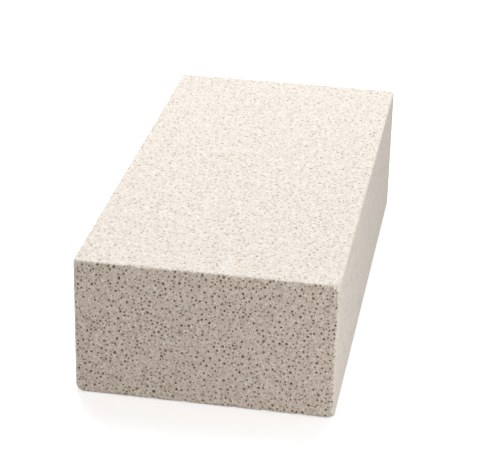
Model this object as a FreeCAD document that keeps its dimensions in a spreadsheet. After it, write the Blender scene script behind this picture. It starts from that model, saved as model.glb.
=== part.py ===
import FreeCAD, Part
import Sketcher
import os

# An insulating firebrick of the 230 x 114 x 64 mm size: a plain straight, with no frog and no holes.
# Lengths are in millimetres. X runs along the brick, Y across it and Z up through its thickness,
# and the origin is the middle of the bottom bed.

# Driving sizes: alias, value, and what it measures.
sizeRows = [
    ("brickLength", 230.0, "header to header, along X"),
    ("brickWidth", 114.0, "stretcher to stretcher, along Y"),
    ("brickThickness", 64.0, "bed to bed, along Z"),
    ("uprightArris", 2.0, "worn radius of the four upright arrises"),
    ("bedArris", 1.0, "worn radius round the top and bottom beds"),
]

# A vertex of a sketch line: 1 is its start and 2 its end. The sketch's own origin is vertex 1 of -1.
lineStart = 1
lineEnd = 2
sketchOrigin = (-1, 1)


def makeSizeSheet(doc):
    """One row for each driving size: its name, its value under that alias, and its meaning."""
    sheet = doc.addObject("Spreadsheet::Sheet", "brickSizes")
    for row, (alias, value, meaning) in enumerate(sizeRows, start=1):
        sheet.set(f"A{row}", alias)
        sheet.set(f"B{row}", str(value))
        sheet.setAlias(f"B{row}", alias)
        sheet.set(f"C{row}", meaning)
    doc.recompute()
    return sheet


def originPlane(body, role):
    """The one of the body's own origin planes that has this role."""
    return next(plane for plane in body.Origin.OriginFeatures if plane.Role == role)


def drawBedOutline(doc, body, sheet):
    """The rectangle of the bottom bed, centred on the origin."""
    outline = body.newObject("Sketcher::SketchObject", "bedOutline")
    outline.AttachmentSupport = [(originPlane(body, "XY_Plane"), "")]
    outline.MapMode = "FlatFace"

    halfLength = sheet.brickLength / 2
    halfWidth = sheet.brickWidth / 2
    corners = [
        FreeCAD.Vector(-halfLength, -halfWidth, 0),
        FreeCAD.Vector(halfLength, -halfWidth, 0),
        FreeCAD.Vector(halfLength, halfWidth, 0),
        FreeCAD.Vector(-halfLength, halfWidth, 0),
    ]
    nextCorners = corners[1:] + corners[:1]
    sides = [
        outline.addGeometry(Part.LineSegment(start, end), False)
        for start, end in zip(corners, nextCorners)
    ]
    nearStretcher, farHeader, farStretcher, nearHeader = sides

    for side, nextSide in zip(sides, sides[1:] + sides[:1]):
        outline.addConstraint(Sketcher.Constraint("Coincident", side, lineEnd, nextSide, lineStart))
    for side in (nearStretcher, farStretcher):
        outline.addConstraint(Sketcher.Constraint("Horizontal", side))
    for side in (farHeader, nearHeader):
        outline.addConstraint(Sketcher.Constraint("Vertical", side))
    outline.addConstraint(Sketcher.Constraint(
        "Symmetric", nearStretcher, lineStart, farStretcher, lineStart, *sketchOrigin))

    lengthwise = outline.addConstraint(Sketcher.Constraint(
        "DistanceX", nearStretcher, lineStart, nearStretcher, lineEnd, sheet.brickLength))
    crosswise = outline.addConstraint(Sketcher.Constraint(
        "DistanceY", farHeader, lineStart, farHeader, lineEnd, sheet.brickWidth))
    outline.setExpression(f"Constraints[{lengthwise}]", "brickSizes.brickLength")
    outline.setExpression(f"Constraints[{crosswise}]", "brickSizes.brickWidth")
    doc.recompute()
    return outline


def pressBlank(doc, body, outline):
    """The square-edged block, from the bottom bed up to the top one."""
    blank = body.newObject("PartDesign::Pad", "squareBlank")
    blank.Profile = outline
    blank.setExpression("Length", "brickSizes.brickThickness")
    outline.Visibility = False
    doc.recompute()
    return blank


def isUpright(edge):
    """True for an edge that runs up the brick, with its height its greatest extent."""
    box = edge.BoundBox
    return box.ZLength > box.XLength and box.ZLength > box.YLength


def isRoundBed(edge):
    """True for an edge of the bottom or the top bed: every edge that doesn't run up."""
    return not isUpright(edge)


def roundEdges(doc, body, name, base, chosen, radiusAlias):
    """Rounds the edges of the base that the test picks, to the radius in the size sheet."""
    names = [f"Edge{i}" for i, edge in enumerate(base.Shape.Edges, start=1) if chosen(edge)]
    rounding = body.newObject("PartDesign::Fillet", name)
    rounding.Base = (base, names)
    rounding.setExpression("Radius", f"brickSizes.{radiusAlias}")
    doc.recompute()
    return rounding


def makeFirebrick(doc, sheet):
    """The whole brick: a pressed block with its arrises worn round."""
    body = doc.addObject("PartDesign::Body", "firebrick")
    body.Label = "firebrick"
    outline = drawBedOutline(doc, body, sheet)
    blank = pressBlank(doc, body, outline)
    upright = roundEdges(doc, body, "uprightArrises", blank, isUpright, "uprightArris")
    roundEdges(doc, body, "bedArrises", upright, isRoundBed, "bedArris")
    body.Placement = FreeCAD.Placement()
    doc.recompute()
    return body


def checkModel(doc, subparts):
    """Stops with a plain message if a feature failed or a sub-part isn't one valid solid."""
    for item in doc.Objects:
        if "Invalid" in item.State or "Error" in item.State:
            raise RuntimeError(f"{item.Name} failed: {item.State}")
    for subpart in subparts:
        shape = subpart.Shape
        if shape.isNull() or not shape.isValid() or len(shape.Solids) != 1:
            raise RuntimeError(f"{subpart.Label} isn't one valid solid")


def writeParts(subparts):
    """One STEP file for each sub-part, named by its label."""
    os.makedirs("parts", exist_ok=True)
    for subpart in subparts:
        subpart.Shape.exportStep(f"parts/{subpart.Label}.step")
        print(subpart.Label, f"volume {subpart.Shape.Volume:.0f} mm3")


doc = FreeCAD.newDocument("refractoryFirebrick")
sheet = makeSizeSheet(doc)
subparts = [makeFirebrick(doc, sheet)]
checkModel(doc, subparts)
writeParts(subparts)
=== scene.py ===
import bpy
import math
import numpy as np
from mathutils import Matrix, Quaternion, Vector
from mathutils.geometry import delaunay_2d_cdt


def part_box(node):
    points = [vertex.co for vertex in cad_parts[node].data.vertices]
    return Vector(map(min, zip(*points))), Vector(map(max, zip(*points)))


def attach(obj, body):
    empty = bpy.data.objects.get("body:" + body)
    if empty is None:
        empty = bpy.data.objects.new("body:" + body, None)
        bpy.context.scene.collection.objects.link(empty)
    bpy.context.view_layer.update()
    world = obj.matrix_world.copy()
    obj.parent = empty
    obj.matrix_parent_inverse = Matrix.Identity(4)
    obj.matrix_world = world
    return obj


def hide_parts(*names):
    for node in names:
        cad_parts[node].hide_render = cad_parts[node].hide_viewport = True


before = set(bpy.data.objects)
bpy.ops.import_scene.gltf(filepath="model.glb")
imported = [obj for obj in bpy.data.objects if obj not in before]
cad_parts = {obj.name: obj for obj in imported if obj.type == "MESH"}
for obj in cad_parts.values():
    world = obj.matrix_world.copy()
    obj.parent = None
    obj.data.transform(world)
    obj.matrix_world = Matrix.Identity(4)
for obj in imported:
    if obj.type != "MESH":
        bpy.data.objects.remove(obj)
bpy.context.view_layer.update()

# Lengths are in metres.
mm = 0.001
micron = 1e-6
tiny = 1e-9                        # in place of a length of nought
toSquareMetre = 1e4                # from a number to the square centimetre

# The brick lies on the floor with its near header towards -X and its near stretcher towards -Y.
brickLow, brickHigh = (np.array(corner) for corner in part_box("firebrick"))
brickHalf = (brickHigh - brickLow) / 2
brickMiddle = (brickHigh + brickLow) / 2


# The skin of the brick: flat faces open with pores, and worn arrises between them.

skin = {
    "uprightArris": 2.0 * mm,      # radius of the four upright arrises
    "bedArris": 1.0 * mm,          # radius round the top and bottom beds
    "edgeStep": 0.45 * mm,         # spacing of the points along the arrises
    "bandRows": (                  # rows of points along them: inset, and share of the edge's count
        (0.32 * mm, 1), (0.70 * mm, 1), (1.20 * mm, 0.6), (1.75 * mm, 0.4)),
    "tryPitch": 1.6 * mm,          # squares of the grid that the pores are drawn from
    "smallMore": 1.4,              # above 1 there are more small pores than large ones
    "betweenPores": 0.04 * mm,     # clay left round a pore
    "poreToEdge": 0.12 * mm,       # clay left between a pore and the sharp edge
    "poreToRow": 0.10 * mm,        # and between a pore and a row's point
    "patchy": 0.3,                 # how uneven the scatter is
    "patches": (8 * mm, 36 * mm),  # the shortest and the longest wave of that unevenness
    "patchWaves": 8,
    "rimRange": (0.80, 1.12),      # how far a rim's points stray, as shares of the pore's radius
    "rimTurn": 0.2,                # and round the rim, as a share of a step
    "drawnOut": 0.30,              # how much narrower one way a pore can be
    "bottomStray": 0.2,            # how far its bottom is off the middle, as a share of the radius
    "wallShade": 0.8,              # the rim's share of the painted shade at the bottom
    "seed": 11,
}

# How open each sort of face is: tries for a pore to the square centimetre, the points round a rim, the range
# of the radii and of the depth as a share of the radius, how dark the insides are painted (painted shade of a
# deep hole, strongest on the headers, which lie in shade, and faint on the beds, which the light fills), how
# open the clay's own grain is, and how far its colour goes from the pale one towards the deep one, which on
# the headers is partly painted shade and warm bounce light.
pores = {
    "bed": {
        "spread": 13.5, "sides": 5, "radius": (0.48 * mm, 0.98 * mm), "depth": (0.5, 0.9),
        "paintedDark": (0.02, 0.15), "open": 0.76, "deepTintAndBounce": 0.15},
    "header": {
        "spread": 29.0, "sides": 6, "radius": (0.39 * mm, 0.85 * mm), "depth": (1.1, 1.8),
        "paintedDark": (0.60, 0.94), "open": 1.0, "deepTintAndBounce": 0.82},
    "stretcher": {
        "spread": 7.5, "sides": 5, "radius": (0.34 * mm, 0.76 * mm), "depth": (0.3, 0.7),
        "paintedDark": (0.18, 0.46), "open": 0.3, "deepTintAndBounce": 0.17},
}

# Each face: its own u and v directions, with u x v pointing out of the brick, its sort,
# and where its lower left corner goes on the bake's square sheet.
sheetSide = 372 * mm
faces = {
    "topBed": {"u": (1, 0, 0), "v": (0, 1, 0), "sort": "bed", "sheet": (2 * mm, 2 * mm)},
    "bottomBed": {"u": (1, 0, 0), "v": (0, -1, 0), "sort": "bed", "sheet": (2 * mm, 120 * mm)},
    "nearStretcher": {"u": (1, 0, 0), "v": (0, 0, 1), "sort": "stretcher", "sheet": (2 * mm, 238 * mm)},
    "farStretcher": {"u": (-1, 0, 0), "v": (0, 0, 1), "sort": "stretcher", "sheet": (2 * mm, 306 * mm)},
    "nearHeader": {"u": (0, -1, 0), "v": (0, 0, 1), "sort": "header", "sheet": (236 * mm, 2 * mm)},
    "farHeader": {"u": (0, 1, 0), "v": (0, 0, 1), "sort": "header", "sheet": (236 * mm, 70 * mm)},
}


def rectangleLoop(halfU, halfV, stepsU, stepsV):
    # A walk round a rectangle, anticlockwise from its lower left corner, with even steps along each side.
    alongU = np.arange(stepsU) / stepsU * 2 - 1
    alongV = np.arange(stepsV) / stepsV * 2 - 1
    u = np.concatenate([alongU, np.ones(stepsV), -alongU, -np.ones(stepsV)]) * halfU
    v = np.concatenate([-np.ones(stepsU), alongV, np.ones(stepsU), -alongV]) * halfV
    return np.stack([u, v], axis=1)


def patchiness(u, v, draw):
    # A smooth field about zero: the sum of a few random waves over the face, divided by 3, which keeps nearly
    # all of it between -1 and 1.
    waves = skin["patchWaves"]
    heading = draw.uniform(0, 2 * math.pi, waves)
    wave = 2 * math.pi / draw.uniform(*skin["patches"], waves)
    start = draw.uniform(0, 2 * math.pi, waves)
    across = np.multiply.outer(u, np.cos(heading)) + np.multiply.outer(v, np.sin(heading))
    return np.sin(across * wave + start).sum(axis=-1) / 3


def scatterPores(halfU, halfV, sort, draw):
    # The middles and radii of one face's pores. Each square of a fine grid has one try, anywhere in it.
    # Chance keeps a try, more in some patches than in others, unless it touches one of higher rank nearby.
    stepsU, stepsV = int(2 * halfU / skin["tryPitch"]), int(2 * halfV / skin["tryPitch"])
    v, u = np.meshgrid(np.arange(stepsV), np.arange(stepsU), indexing="ij")
    u = ((u + draw.random(u.shape)) / stepsU * 2 - 1) * halfU
    v = ((v + draw.random(v.shape)) / stepsV * 2 - 1) * halfV
    low, high = sort["radius"]
    radius = low + (high - low) * draw.random(u.shape) ** skin["smallMore"]
    reach = radius * skin["rimRange"][1] + skin["betweenPores"]
    chance = sort["spread"] * toSquareMetre * skin["tryPitch"] ** 2
    chance = chance * (1 + skin["patchy"] * patchiness(u, v, draw))
    rank = np.where(draw.random(u.shape) < chance, draw.random(u.shape), -1)
    edge = skin["poreToEdge"]
    rank[(np.abs(u) + reach > halfU - edge) | (np.abs(v) + reach > halfV - edge)] = -1
    kept = rank >= 0
    around = range(-2, 3)          # two squares each way hold every pore that this one can touch
    for shift in [(i, j) for i in around for j in around if (i, j) != (0, 0)]:
        otherU, otherV, otherReach, otherRank = (np.roll(a, shift, (0, 1)) for a in (u, v, reach, rank))
        kept &= (np.hypot(u - otherU, v - otherV) > reach + otherReach) | (otherRank < rank)
    return np.stack([u[kept], v[kept]], axis=1), radius[kept]


def poreRims(centre, radius, sides, draw):
    # Five or six points round each middle: an uneven ring, turned at random and a little drawn out one way.
    count = len(centre)
    step = 2 * math.pi / sides
    angle = step * np.arange(sides) + draw.uniform(0, math.pi, (count, 1))
    angle = angle + draw.uniform(-skin["rimTurn"], skin["rimTurn"], (count, sides)) * step
    along = angle - draw.uniform(0, math.pi, (count, 1))
    drawn = 1 - draw.uniform(0, skin["drawnOut"], (count, 1)) * np.cos(along) ** 2
    reach = radius[:, None] * drawn * draw.uniform(*skin["rimRange"], (count, sides))
    return centre[:, None] + reach[..., None] * np.stack([np.cos(angle), np.sin(angle)], axis=-1)


def bandPoints(halfU, halfV, centre, radius):
    # The loop on the sharp edge, which the next faces share, and the rows of points inside it that
    # carry the arris's curve, without those that a pore takes.
    stepsU, stepsV = round(2 * halfU / skin["edgeStep"]), round(2 * halfV / skin["edgeStep"])
    loop = rectangleLoop(halfU, halfV, stepsU, stepsV)
    rows = np.concatenate([
        rectangleLoop(halfU - inset, halfV - inset, round(stepsU * share), round(stepsV * share))
        for inset, share in skin["bandRows"]])
    widest = skin["rimRange"][1]
    innerRow = skin["bandRows"][-1][0]
    toEdge = np.min((halfU, halfV) - np.abs(centre), axis=1)
    edgeward = toEdge < innerRow + radius.max() * widest + skin["poreToRow"]
    gap = np.linalg.norm(rows[:, None] - centre[edgeward], axis=-1)
    clear = (gap > radius[edgeward] * widest + skin["poreToRow"]).all(axis=1)
    return loop, rows[clear]


def faceSkin(halfU, halfV, sort, draw):
    # One face as points (u, v, depth) and triangles. A Delaunay net joins the sharp edge, the band's rows and
    # the pores' rims. The net inside each rim is taken out, and walls go down from it to a bottom point.
    centre, radius = scatterPores(halfU, halfV, sort, draw)
    sides = sort["sides"]
    rim = poreRims(centre, radius, sides, draw)
    loop, rows = bandPoints(halfU, halfV, centre, radius)
    count = len(centre)
    flat = np.concatenate([loop, rows, rim.reshape(-1, 2)])
    firstRim = len(loop) + len(rows)
    rimNumber = firstRim + np.arange(count * sides).reshape(count, sides)
    following = np.roll(rimNumber, -1, axis=1)
    border = np.arange(len(loop))
    held = np.concatenate([
        np.stack([border, np.roll(border, -1)], axis=1),
        np.stack([rimNumber, following], axis=-1).reshape(-1, 2)])
    wholeHull, closest = 0, 1e-6   # every triangle is kept, and points closer than this (in mm) are one
    net = delaunay_2d_cdt((flat / mm).tolist(), held.tolist(), [], wholeHull, closest)
    origin = np.array(net[3])[:, 0]
    triangle = origin[np.array(net[2])]

    # A triangle is inside a rim where its corners are all of that rim and follow it round the same way.
    pore = np.where(triangle >= firstRim, (triangle - firstRim) // sides, -1 - triangle)
    samePore = (pore == pore[:, :1]).all(axis=1)
    sameTurn = (triangle < np.roll(triangle, -1, axis=1)).sum(axis=1) == 2
    net = triangle[~(samePore & sameTurn)]

    bottom = centre + draw.uniform(-skin["bottomStray"], skin["bottomStray"], centre.shape) * radius[:, None]
    depth = radius * draw.uniform(*sort["depth"], count)
    # The pore's darkness is painted shade: the shade of a deep hole, which the shallow pit doesn't cast by
    # itself.
    paintedDarkness = draw.uniform(*sort["paintedDark"], count)
    bottomNumber = np.broadcast_to((len(flat) + np.arange(count))[:, None], rimNumber.shape)
    walls = np.stack([rimNumber, following, bottomNumber], axis=-1).reshape(-1, 3)
    wallPaintedDark = np.multiply.outer(np.repeat(paintedDarkness, sides), (skin["wallShade"], skin["wallShade"], 1.0))
    points = np.concatenate([
        np.column_stack([flat, np.zeros(len(flat))]),
        np.column_stack([bottom, depth])])
    return points, net, walls, wallPaintedDark


def wornPoint(sharp):
    # A point of the sharp-edged block, from the block's middle, taken to the worn one. A core keeps the bed
    # arris's radius inside each face, with its upright corners rounded by what is left of their radius.
    # The worn point lies that one radius out from the nearest point of the core, and so does its normal.
    upright, bed = skin["uprightArris"], skin["bedArris"]
    planLimit = brickHalf[:2] - upright
    planInner = np.clip(sharp[:, :2], -planLimit, planLimit)
    out = sharp[:, :2] - planInner
    reach = np.maximum(np.linalg.norm(out, axis=1, keepdims=True), tiny)
    planCore = planInner + out * np.minimum(1, (upright - bed) / reach)
    levelLimit = brickHalf[2] - bed
    core = np.column_stack([planCore, np.clip(sharp[:, 2], -levelLimit, levelLimit)])
    normal = sharp - core
    normal /= np.linalg.norm(normal, axis=1, keepdims=True)
    return core + bed * normal, normal


# Wear along the arrises: small bites where the edge has broken into a pore, a few long shallow chips, and a
# ripple. Each bite or chip is what a ball takes out: how many to the metre of edge, the ball's radius, how far
# it is moved onto a face, and how far out it stands as a share of its radius. Then the wear of the corners.
wear = {
    "bites": {"perMetre": 330, "radius": (0.40 * mm, 0.80 * mm), "spread": 0.9 * mm, "standOff": (0.35, 0.65)},
    "chips": {"perMetre": 34, "radius": (2.5 * mm, 5.5 * mm), "spread": 0.5 * mm, "standOff": (0.86, 0.97)},
    "bitePaintedDark": 0.45,              # how dark a bite is painted on the most open face: painted shade in its hollow
    "biteDeep": 0.5 * mm,          # the depth at which it is that dark
    "paleWidth": 1.3 * mm,         # the upright arrises are paler over this width: partly rubbed wear, partly a painted highlight
    "cornerCut": (1.2 * mm, 3.4 * mm),   # how far below the sharp corner the cut lies
    "cornerShare": 0.85,           # of what lies beyond the cut, which leaves it a little domed
    "ripple": 0.04 * mm,           # middle depth of the ripple at the edge
    "rippleWaves": (               # its three waves, each a column, in radians to the metre
        (9100, 3700, -5200),
        (-4300, 8600, 6100),
        (5900, -6800, 8900)),
    "bandWidth": 2.2 * mm,         # how far from the edge the wear reaches
    "seed": 23,
}


def arrisBalls(sort, draw):
    # Balls along the twelve edges: a random place on each edge, moved a little way onto either face, and
    # then out along the normal by a share of the radius, so that only the ball's cap is in the clay.
    balls = []
    for axis in range(3):
        others = [k for k in range(3) if k != axis]
        for signs in ((-1, -1), (1, -1), (1, 1), (-1, 1)):
            count = round(2 * brickHalf[axis] * sort["perMetre"])
            centre = np.zeros((count, 3))
            centre[:, axis] = draw.uniform(-1, 1, count) * brickHalf[axis]
            onFirst = draw.random(count) < 0.5
            inset = draw.random(count) * sort["spread"]
            for other, sign, moved in zip(others, signs, (onFirst, ~onFirst)):
                centre[:, other] = sign * (brickHalf[other] - np.where(moved, inset, 0))
            balls.append(np.column_stack([centre, draw.uniform(*sort["radius"], count)]))
    balls = np.concatenate(balls)
    place, normal = wornPoint(balls[:, :3])
    out = balls[:, 3] * draw.uniform(*sort["standOff"], len(balls))
    return place + normal * out[:, None], balls[:, 3]


def bittenDepth(points, normals, centres, radii):
    # How far in each point goes: along its normal to the far side of any ball that holds it.
    depth = np.zeros(len(points))
    for centre, radius in zip(centres, radii):
        offset = points - centre
        gap = radius ** 2 - (offset ** 2).sum(axis=1)
        held = np.flatnonzero(gap > 0)
        along = (offset[held] * normals[held]).sum(axis=1)
        depth[held] = np.maximum(depth[held], along + np.sqrt(along ** 2 + gap[held]))
    return depth


def cornerWear(points, draw):
    # A plane across each of the eight corners, at its own distance: what lies beyond it is worn back most of
    # the way to it. The corner's number adds 1 for +X, 2 for +Y and 4 for +Z.
    diagonal = np.ones(3) / math.sqrt(3)
    corner = (points > 0) @ np.array([1, 2, 4])
    limit = brickHalf @ diagonal - draw.uniform(*wear["cornerCut"], 8)
    beyond = np.maximum(np.abs(points) @ diagonal - limit[corner], 0) * wear["cornerShare"]
    return points - np.sign(points) * diagonal * beyond[:, None]


def joinFaces():
    # All six faces as one net: points (x, y, z, depth) of the sharp block, triangles, and for each
    # triangle's corner its place on the sheet, its painted shade, and its face's openness and depth of colour.
    draw = np.random.default_rng(skin["seed"])
    points, triangles, sheet, paintedShade, openness, deepTintAndBounce = [], [], [], [], [], []
    first = 0
    for name, face in faces.items():
        u, v = np.array(face["u"], float), np.array(face["v"], float)
        out = np.cross(u, v)
        halfU, halfV, halfOut = np.abs(u) @ brickHalf, np.abs(v) @ brickHalf, np.abs(out) @ brickHalf
        sort = pores[face["sort"]]
        local, net, walls, wallPaintedDark = faceSkin(halfU, halfV, sort, draw)
        triangle = np.concatenate([net, walls])
        sharp = local[:, :1] * u + local[:, 1:2] * v + halfOut * out
        points.append(np.column_stack([sharp, local[:, 2]]))
        triangles.append(triangle + first)
        sheet.append(((local[:, :2] + (halfU, halfV) + face["sheet"]) / sheetSide)[triangle])
        paintedShade.append(np.concatenate([np.zeros(net.shape), wallPaintedDark]))
        openness.append(np.full(triangle.shape, sort["open"]))
        deepTintAndBounce.append(np.full(triangle.shape, sort["deepTintAndBounce"]))
        first += len(local)
        print("face", name, "has", len(walls) // sort["sides"], "pores and", len(triangle), "triangles")
    points, triangles = np.concatenate(points), np.concatenate(triangles)
    # Points that two faces share become one: those that round to the same micron. The offset keeps a point on
    # a half micron from going one way on one face and the other way on the next.
    offset = 0.123
    whole = np.round(points / micron + offset)
    _, kept, number = np.unique(whole, axis=0, return_index=True, return_inverse=True)
    return points[kept], number.reshape(-1)[triangles], *map(np.concatenate, (sheet, paintedShade, openness, deepTintAndBounce))


def firebrickMesh():
    # Each point of the sharp block goes to the worn one, and then in along the normal by its pore's depth, the
    # greater depth of its bite and its chip, and the ripple. Last, the corners are worn.
    points, triangles, sheet, paintedShade, openness, deepTintAndBounce = joinFaces()
    sharp, ownDepth = points[:, :3], points[:, 3]
    worn, normal = wornPoint(sharp)

    # Only the band along the arrises is bitten and rippled, and its pores go in with it.
    draw = np.random.default_rng(wear["seed"])
    toEdge = np.sort(brickHalf - np.abs(sharp), axis=1)[:, 1]
    band = np.flatnonzero(toEdge < wear["bandWidth"])
    bitten, chipped = np.zeros(len(points)), np.zeros(len(points))
    bitten[band] = bittenDepth(worn[band], normal[band], *arrisBalls(wear["bites"], draw))
    chipped[band] = bittenDepth(worn[band], normal[band], *arrisBalls(wear["chips"], draw))
    wave = np.sin(worn @ np.array(wear["rippleWaves"])).mean(axis=1)
    ripple = wear["ripple"] * (1 + wave) * np.clip(1 - toEdge / wear["bandWidth"], 0, 1)
    depth = ownDepth + np.maximum(bitten, chipped) + ripple
    placed = cornerWear(worn - normal * depth[:, None], draw)
    print("arrises:", np.count_nonzero(bitten), "points bitten,", np.count_nonzero(chipped), "chipped")

    # The painted shade of the bites, and the paler clay of the upright arrises.
    bitePaintedShade = np.clip(bitten / wear["biteDeep"], 0, 1)
    paintedShade = np.maximum(paintedShade, bitePaintedShade[triangles] * wear["bitePaintedDark"] * openness)
    # Along the upright arrises the colour goes pale: partly rubbed wear, partly a painted highlight where they
    # catch the light.
    toUpright = (brickHalf - np.abs(sharp))[:, :2].max(axis=1)
    deepTintAndBounce = deepTintAndBounce * np.clip(toUpright / wear["paleWidth"], 0, 1)[triangles]

    mesh = bpy.data.meshes.new("firebrick_skin")
    mesh.vertices.add(len(placed))
    mesh.vertices.foreach_set("co", (placed + brickMiddle).astype(np.float32).reshape(-1))
    mesh.loops.add(triangles.size)
    mesh.loops.foreach_set("vertex_index", triangles.astype(np.int32).reshape(-1))
    mesh.polygons.add(len(triangles))
    mesh.polygons.foreach_set("loop_start", np.arange(len(triangles), dtype=np.int32) * 3)
    mesh.uv_layers.new(name="OFBake").uv.foreach_set("vector", sheet.astype(np.float32).reshape(-1))
    for name, values in (("porePaintedShade", paintedShade), ("openness", openness), ("deepTintAndBounce", deepTintAndBounce)):
        layer = mesh.attributes.new(name, "FLOAT", "CORNER")
        layer.data.foreach_set("value", values.astype(np.float32).reshape(-1))
    mesh.update(calc_edges=True)
    mesh.shade_flat()
    print("skin:", len(placed), "points,", len(triangles), "triangles")
    return mesh


# Fired clay: cream, matt, a little mottled, with fine pores and pale flecks between the large pores, and
# painted shade in the pores.
# Scales are in waves or cells to the metre.

clay = {
    "pale": (0.900, 0.832, 0.760),
    "deep": (0.722, 0.596, 0.492),
    "palest": (0.97, 0.93, 0.88),  # no fleck is paler
    # The colour of the painted shade deep in the large pores and the bites.
    "poreShadedInside": (0.24, 0.155, 0.095),
    # The fine pores' colour is painted shade: they are too small to build as pits.
    "finePore": (0.50, 0.395, 0.30),
    "finePoreScale": 560,
    "finePoreReach": 0.36,         # the largest one's radius, in cells
    "finePoreShade": 0.6,          # how far the painted shade goes to its own colour
    "fleckScale": 800,
    "fleckReach": 0.55,
    "dotEdge": 0.06,               # soft edge of the fine pores and flecks, in cells
    "stray": 0.9 * mm,             # how far they are pushed out of round
    "strayScale": 800,
    "patchScale": 140,
    "mottleScale": 520,
    "grainScale": 1500,
    "hueVaries": 0.3,              # how far a patch or a mottle goes between pale and deep
    "patchLight": 0.44,            # how far a patch is lighter or darker on a closed face
    "patchEven": 0.34,             # how much less on the most open one
    "mottleLight": 0.76,           # the same for the mottle, the grain and a fleck, on the most open face
    "grainLight": 0.78,
    "fleckLight": 0.47,
    "grainHeight": 0.35,           # shares of the bump's depth
    "mottleHeight": 0.5,
    "bumpDepth": 0.20 * mm,
    "bumpStrength": 0.6,
    "roughness": 0.92,
    "shine": 0.25,
}


class Wire:
    # A shader socket that takes part in sums: each sum adds its Math node.
    def __init__(self, tree, socket=None):
        self.tree = tree
        self.socket = socket

    def node(self, kind, settings=None, sockets=None, output=0):
        made = self.tree.nodes.new(kind)
        for key, value in (settings or {}).items():
            setattr(made, key, value)
        for key, value in (sockets or {}).items():
            if isinstance(value, Wire):
                self.tree.links.new(value.socket, made.inputs[key])
            else:
                made.inputs[key].default_value = value
        return Wire(self.tree, made.outputs[output]) if len(made.outputs) else made

    def sum(self, operation, *terms):
        return self.node("ShaderNodeMath", {"operation": operation}, dict(enumerate(terms)))

    def __add__(self, other):
        return self.sum("ADD", self, other)

    def __radd__(self, other):
        return self.sum("ADD", other, self)

    def __sub__(self, other):
        return self.sum("SUBTRACT", self, other)

    def __rsub__(self, other):
        return self.sum("SUBTRACT", other, self)

    def __mul__(self, other):
        return self.sum("MULTIPLY", self, other)

    def __rmul__(self, other):
        return self.sum("MULTIPLY", other, self)

    def __truediv__(self, other):
        return self.sum("DIVIDE", self, other)

    def clamped(self):
        return self.node("ShaderNodeClamp", None, {"Value": self})

    def scaled(self, factor):
        # A colour made brighter or darker by a number.
        return self.node("ShaderNodeVectorMath", {"operation": "SCALE"}, {"Vector": self, "Scale": factor})

    def capped(self, most):
        # A colour with none of its parts above this one's.
        return self.node("ShaderNodeVectorMath", {"operation": "MINIMUM"}, {0: self, 1: most})

    def mixed(self, first, second):
        # The colour first where this is 0 and second where it is 1.
        return self.node(
            "ShaderNodeMix", {"data_type": "RGBA"}, {"Factor": self, 6: first, 7: second}, 2)


def colour(rgb):
    # A socket's colour, which has a fourth part.
    return (*rgb, 1.0)


def firedClay():
    # The body's colour lies between pale and deep, by the face and a little by patch and mottle; on the headers
    # the deep side is partly painted shade and warm bounce light. It is made lighter or darker by patch,
    # mottle, grain and fleck, and the painted shade of the fine pores and the large ones goes over it.
    material = bpy.data.materials.new("fired_clay")
    material.use_nodes = True
    tree = material.node_tree
    tree.nodes.clear()
    wire = Wire(tree)
    place = wire.node("ShaderNodeTexCoord", output="Object")

    def noise(scale, detail, roughness=0.5, output="Fac"):
        sockets = {"Vector": place, "Scale": scale, "Detail": detail, "Roughness": roughness}
        return wire.node("ShaderNodeTexNoise", None, sockets, output)

    def marked(name):
        return wire.node("ShaderNodeAttribute", {"attribute_name": name}, None, "Fac")

    # The noises run from 0 to 1, and their middle is 0.5.
    patch = noise(clay["patchScale"], 3.0)
    mottle = noise(clay["mottleScale"], 4.0, 0.65)
    grain = noise(clay["grainScale"], 2.0, 0.6)
    stray = noise(clay["strayScale"], 2.0, output="Color")
    bent = wire.node(
        "ShaderNodeVectorMath", {"operation": "MULTIPLY_ADD"}, {0: stray, 1: (clay["stray"],) * 3, 2: place})

    def dots(scale, reach):
        # Lumps of uneven size and shape in the clay, cut through by the face: 1 inside them and 0 outside.
        # Each cell has one, as far round its middle as its own share of the reach.
        sockets = {"Vector": bent, "Scale": scale, "Randomness": 1.0}
        away = wire.node("ShaderNodeTexVoronoi", None, sockets)
        tint = wire.node("ShaderNodeTexVoronoi", None, sockets, "Color")
        share = wire.node("ShaderNodeSeparateColor", None, {"Color": tint})
        return ((share * reach - away) / clay["dotEdge"] + 0.5).clamped()

    openness = marked("openness")
    # The fine pores are dots of painted shade, on the open faces.
    fine = dots(clay["finePoreScale"], clay["finePoreReach"]) * openness
    fleck = dots(clay["fleckScale"], clay["fleckReach"])
    varies = clay["hueVaries"]
    # The face's depth of colour: on the headers partly the cut face's own grain, partly painted shade and warm
    # bounce light.
    deepness = (patch - 0.5) * varies + (mottle - 0.5) * varies + marked("deepTintAndBounce")
    patches = (patch - 0.5) * (clay["patchLight"] - clay["patchEven"] * openness)
    grains = (mottle - 0.5) * clay["mottleLight"] + (grain - 0.5) * clay["grainLight"]
    level = 1.0 + patches + (grains + fleck * clay["fleckLight"]) * openness
    body = deepness.clamped().mixed(colour(clay["pale"]), colour(clay["deep"])).scaled(level)
    surface = body.capped(clay["palest"])
    surface = (fine * clay["finePoreShade"]).mixed(surface, colour(clay["finePore"]))
    # The painted shade of the large pores and of the bites goes over all.
    surface = marked("porePaintedShade").clamped().mixed(surface, colour(clay["poreShadedInside"]))

    height = (grain * clay["grainHeight"] + mottle * clay["mottleHeight"]) * openness - fine
    bump = wire.node("ShaderNodeBump", None, {
        "Strength": clay["bumpStrength"],
        "Distance": clay["bumpDepth"],
        "Height": height,
    })
    shader = wire.node("ShaderNodeBsdfPrincipled", None, {
        "Base Color": surface,
        "Roughness": clay["roughness"],
        "Specular IOR Level": clay["shine"],
        "Normal": bump,
    })
    wire.node("ShaderNodeOutputMaterial", None, {"Surface": shader})
    print("clay:", len(tree.nodes), "nodes")
    return material


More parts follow.
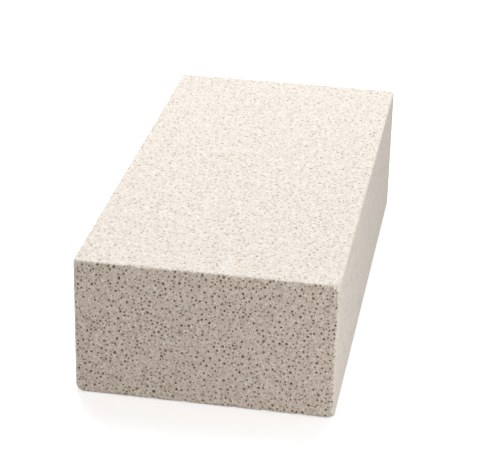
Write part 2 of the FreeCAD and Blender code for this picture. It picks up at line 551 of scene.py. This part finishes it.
def makeFirebrick():
    mesh = firebrickMesh()
    brick = bpy.data.objects.new("firebrick_skin", mesh)
    bpy.context.scene.collection.objects.link(brick)
    mesh.materials.append(firedClay())
    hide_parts("firebrick")
    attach(brick, "root")


# A white studio floor. The key light comes from behind and above, so the shadow falls in front. A lamp behind
# makes the far end of the top bed brighter, one at the front right lights the near header, and a weak one at
# each side keeps the stretchers from going grey.

studio = {
    "floorHalf": 4.0,              # metres, half the side of the floor
    "floorSeen": (0.98, 0.98, 0.98),      # the floor's colour to the camera
    "floorGlow": 0.40,             # and its own light there, which keeps it white to the horizon
    "floorBounce": (0.15, 0.15, 0.15),    # its colour to the light that comes back onto the brick
    "worldSeen": 1.0,              # the world to the camera, where 1 is white
    "worldLight": 0.42,            # and as light on the brick
    "sun": {"toward": (0.48, 0.10, 0.87), "spread": 30.0, "strength": 0.76},
    "lamps": {                     # place, side of the square, watts
        "back_lamp": ((0.75, 0.10, 0.80), 0.80, 5.25),
        "fill_lamp": ((-0.56, -0.52, 0.10), 0.20, 1.88),
        "right_lamp": ((0.35, -0.95, 0.30), 0.80, 1.6),
        "left_lamp": ((-0.35, 0.95, 0.30), 0.80, 3.3),
    },
}


def seenDirectly(wire):
    # 1 for what the camera sees, also in a reflection or through glass.
    seen = wire.node("ShaderNodeLightPath", None, None, "Is Camera Ray")
    mirrored = wire.node("ShaderNodeLightPath", None, None, "Is Glossy Ray")
    through = wire.node("ShaderNodeLightPath", None, None, "Is Transmission Ray")
    return (seen + mirrored + through).clamped()


def makeFloor():
    half = studio["floorHalf"]
    corners = [(-half, -half, 0), (half, -half, 0), (half, half, 0), (-half, half, 0)]
    mesh = bpy.data.meshes.new("studio_floor")
    mesh.from_pydata(corners, [], [(0, 1, 2, 3)])
    floor = bpy.data.objects.new("studio_floor", mesh)
    bpy.context.scene.collection.objects.link(floor)
    material = bpy.data.materials.new("studio_white")
    material.use_nodes = True
    material.node_tree.nodes.clear()
    wire = Wire(material.node_tree)
    seen = seenDirectly(wire)
    paint = seen.mixed(colour(studio["floorBounce"]), colour(studio["floorSeen"]))
    matt = wire.node("ShaderNodeBsdfDiffuse", None, {"Color": paint})
    glow = wire.node("ShaderNodeEmission", None, {"Strength": seen * studio["floorGlow"]})
    both = wire.node("ShaderNodeAddShader", None, {0: matt, 1: glow})
    wire.node("ShaderNodeOutputMaterial", None, {"Surface": both})
    mesh.materials.append(material)
    print("floor:", 2 * half, "metres square")


def placeLamp(lamp, place):
    # A lamp at its place, turned to the brick and not itself in the picture.
    made = bpy.data.objects.new(lamp.name, lamp)
    made.location = place
    made.rotation_euler = (place - Vector(brickMiddle)).to_track_quat("Z", "Y").to_euler()
    made.visible_camera = False
    bpy.context.scene.collection.objects.link(made)


def makeLight():
    world = bpy.data.worlds.new("studio_world")
    bpy.context.scene.world = world
    world.use_nodes = True
    world.node_tree.nodes.clear()
    wire = Wire(world.node_tree)
    strength = seenDirectly(wire) * (studio["worldSeen"] - studio["worldLight"]) + studio["worldLight"]
    background = wire.node("ShaderNodeBackground", None, {"Color": colour((1, 1, 1)), "Strength": strength})
    wire.node("ShaderNodeOutputWorld", None, {"Surface": background})

    sun = bpy.data.lights.new("key_sun", "SUN")
    sun.angle = math.radians(studio["sun"]["spread"])
    sun.energy = studio["sun"]["strength"]
    placeLamp(sun, Vector(brickMiddle) + Vector(studio["sun"]["toward"]))
    for name, (place, side, watts) in studio["lamps"].items():
        lamp = bpy.data.lights.new(name, "AREA")
        lamp.size = side
        lamp.energy = watts
        placeLamp(lamp, Vector(place))
    print("light: the world, a sun and", len(studio["lamps"]), "lamps")


# The camera stands where the photograph's stood, and looks straight at the brick. It is turned a little
# about its own line of sight, as the edges lean in the photograph.

view = {
    "azimuth": -80.8,              # degrees, where 0 looks along +Y and 90 along -X
    "elevation": 25.4,
    "roll": 1.4,                   # degrees, and the picture turns clockwise
    "distance": 0.846,             # metres, to the middle of the brick
    "lens": 126.0,                 # millimetres, as is the sensor's width
    "sensor": 36.0,
}


def makeCamera():
    # The line from the brick's middle back to the camera is the camera's own Z axis.
    azimuth, elevation = math.radians(view["azimuth"]), math.radians(view["elevation"])
    back = Vector((
        math.sin(azimuth) * math.cos(elevation), -math.cos(azimuth) * math.cos(elevation), math.sin(elevation)))
    lens = bpy.data.cameras.new("photo_camera")
    lens.lens = view["lens"]
    lens.sensor_width = view["sensor"]
    camera = bpy.data.objects.new("photo_camera", lens)
    camera.location = Vector(brickMiddle) + back * view["distance"]
    roll = Quaternion((0, 0, 1), math.radians(view["roll"]))
    camera.rotation_euler = (back.to_track_quat("Z", "Y") @ roll).to_euler()
    bpy.context.scene.collection.objects.link(camera)
    bpy.context.scene.camera = camera
    print("camera:", view["distance"], "metres away, with a lens of", view["lens"], "millimetres")


makeFirebrick()
makeFloor()
makeLight()
makeCamera()
bpy.context.scene.view_settings.view_transform = "Standard"
